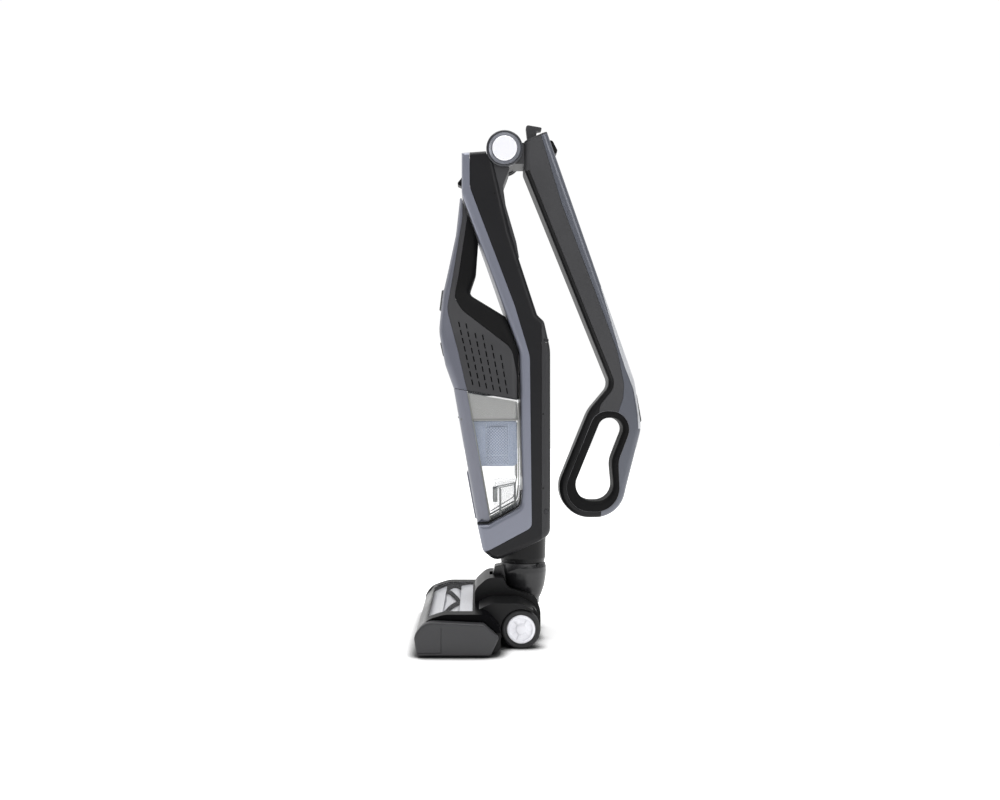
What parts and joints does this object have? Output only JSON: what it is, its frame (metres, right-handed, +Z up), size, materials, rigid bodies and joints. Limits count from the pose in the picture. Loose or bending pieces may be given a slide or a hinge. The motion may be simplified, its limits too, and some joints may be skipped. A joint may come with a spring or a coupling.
{
  "type": "cordless stick vacuum",
  "caption": "Two-in-one upright vacuum: swivel floor head with brush roll, stick frame, lift-out hand unit with dust bin and a fold-down loop handle.",
  "frame": {"origin": "on the floor under the middle of the folded vacuum's box", "axes": "+Z up, -Y towards the front of the floor head, +X to the right as seen from the front, the side with the roll hatch"},
  "size_m": [0.26, 0.2827, 0.6497],
  "materials": {
    "dark_grey": "fine satin moulded grain",
    "black_plastic": "satin moulded",
    "lilac": "satin paint over plastic",
    "arm_lilac": "satin paint over plastic",
    "white_disc": "smooth gloss",
    "silver_strip": "silver paint",
    "soft_grip": "soft touch rubber",
    "clear_bin": "clear moulded",
    "smoke_window": "clear moulded",
    "filter_grey": "moulded",
    "mesh_blue": "perforated sheet",
    "filter_pleats": "pleated fleece",
    "chrome_trim": "bright plating",
    "steel": "turned",
    "cell_metal": "sleeved",
    "motor_metal": "cast",
    "board_green": "varnished board",
    "tyre_rubber": "moulded",
    "belt_rubber": "toothed",
    "roll_silver": "moulded",
    "bristle": "flexible fins",
    "felt": "pressed felt"
  },
  "bodies": {
    "head": {"head_base": "black_plastic", "head_cover": "dark_grey", "head_window": "smoke_window", "sole_frame": "steel", "end_cap_left": "dark_grey", "pivot_housing": "black_plastic", "wheel_fenders": "dark_grey", "glide_pads": "felt", "sole_screws": "steel", "brush_motor": "motor_metal", "drive_belt": "belt_rubber"},
    "roll_hatch": {"end_cap_right": "dark_grey"},
    "brush_roll": {"brush_core": "roll_silver", "bristle_strips": "bristle"},
    "pinion": {"motor_pinion": "steel"},
    "left_wheel": {"wheel_left": "tyre_rubber"},
    "right_wheel": {"wheel_right": "tyre_rubber"},
    "rollers": {"front_rollers": "black_plastic"},
    "neck": {"neck_tube": "black_plastic", "neck_axle": "steel"},
    "stick": {"stick_rails": "lilac", "stick_frame": "black_plastic", "back_cover": "dark_grey", "dock_socket": "black_plastic", "neck_collar": "black_plastic", "hinge_bracket": "black_plastic", "hinge_rings": "arm_lilac", "hinge_discs": "white_disc", "hinge_pin": "steel", "charging_jack": "black_plastic", "charge_contacts": "steel", "back_screws": "steel"},
    "catch": {"release_catch": "black_plastic"},
    "hand_unit": {"hand_front_cover": "lilac", "hand_grip_cover": "soft_grip", "motor_housing": "dark_grey", "bin_band": "lilac", "dust_bin": "clear_bin", "nozzle_cover": "lilac", "filter_ring": "filter_grey", "mesh_filter": "mesh_blue", "fine_filter": "filter_pleats", "inlet_duct": "clear_bin", "suction_motor": "motor_metal", "fan_shroud": "black_plastic", "battery_cells": "cell_metal", "control_board": "board_green"},
    "power_slider": {"power_switch": "chrome_trim"},
    "bin_catch": {"bin_button": "black_plastic"},
    "flap": {"inlet_flap": "clear_bin"},
    "fan": {"suction_fan": "motor_metal"},
    "handle_arm": {"arm_knuckle": "dark_grey", "arm_rear_cover": "arm_lilac", "arm_front_cover": "black_plastic", "arm_side_panels": "dark_grey", "arm_strip": "silver_strip", "grip_liner": "soft_grip"},
    "arm_button": {"fold_button": "black_plastic"},
    "hook": {"latch_hook": "black_plastic"},
    "speed_slider": {"handle_switch": "dark_grey"}
  },
  "joints": [
    {"name": "neck_pitch", "type": "hinge", "parent": "head", "child": "neck", "pos_m": [0, -0.014, 0.032], "axis": [-1, 0, 0], "range_deg": [0, 57]},
    {"name": "stick_swivel", "type": "hinge", "parent": "neck", "child": "stick", "pos_m": [0, -0.0107, 0.092], "axis": [0, 0, 1], "range_deg": [-50, 50]},
    {"name": "hand_lift", "type": "slide", "parent": "stick", "child": "hand_unit", "axis": [0, -0.5, 0.866], "range_m": [0, 0.34]},
    {"name": "catch_press", "type": "slide", "parent": "stick", "child": "catch", "axis": [0, 1, 0], "range_m": [0, 0.0035], "stiffness_N_per_m": 400, "springref_m": -0.002},
    {"name": "arm_fold", "type": "hinge", "parent": "stick", "child": "handle_arm", "pos_m": [0, -0.0345, 0.6143], "axis": [1, 0, 0], "range_deg": [0, 160.5]},
    {"name": "fold_button_press", "type": "slide", "parent": "handle_arm", "child": "arm_button", "axis": [0, -0.9447, -0.3279], "range_m": [0, 0.003], "stiffness_N_per_m": 400, "springref_m": -0.002},
    {"name": "hook_tilt", "type": "hinge", "parent": "handle_arm", "child": "hook", "pos_m": [0, 0.002, 0.6245], "axis": [1, 0, 0], "range_deg": [0, 6.1]},
    {"name": "handle_switch_slide", "type": "slide", "parent": "handle_arm", "child": "speed_slider", "axis": [0, 0.184, -0.9829], "range_m": [0, 0.005]},
    {"name": "power_switch_slide", "type": "slide", "parent": "hand_unit", "child": "power_slider", "axis": [0, 0.122, 0.9925], "range_m": [-0.004, 0.003]},
    {"name": "bin_button_press", "type": "slide", "parent": "hand_unit", "child": "bin_catch", "axis": [0, 1, 0], "range_m": [0, 0.0025], "stiffness_N_per_m": 400, "springref_m": -0.002},
    {"name": "flap_open", "type": "hinge", "parent": "hand_unit", "child": "flap", "pos_m": [0, -0.0215, 0.1972], "axis": [-1, 0, 0], "range_deg": [0, 35]},
    {"name": "fan_spin", "type": "hinge", "parent": "hand_unit", "child": "fan", "pos_m": [0, -0.056, 0.32], "axis": [0, 0, 1], "continuous": true},
    {"name": "roll_spin", "type": "hinge", "parent": "head", "child": "brush_roll", "pos_m": [0, -0.1005, 0.0226], "axis": [1, 0, 0], "continuous": true},
    {"name": "pinion_spin", "type": "hinge", "parent": "head", "child": "pinion", "pos_m": [-0.095, -0.062, 0.024], "axis": [1, 0, 0], "continuous": true},
    {"name": "left_wheel_spin", "type": "hinge", "parent": "head", "child": "left_wheel", "pos_m": [-0.077, -0.0163, 0.023], "axis": [1, 0, 0], "continuous": true},
    {"name": "right_wheel_spin", "type": "hinge", "parent": "head", "child": "right_wheel", "pos_m": [0.077, -0.0163, 0.023], "axis": [1, 0, 0], "continuous": true},
    {"name": "roller_spin", "type": "hinge", "parent": "head", "child": "rollers", "pos_m": [0, -0.064, 0.006], "axis": [1, 0, 0], "continuous": true},
    {"name": "hatch_slide", "type": "slide", "parent": "head", "child": "roll_hatch", "axis": [1, 0, 0], "range_m": [0, 0.025]}
  ],
  "couplings": [
    {"joint": "pinion_spin", "follows": "roll_spin", "ratio": 2},
    {"joint": "hook_tilt", "follows": "fold_button_press", "rad_per_m": 35}
  ]
}
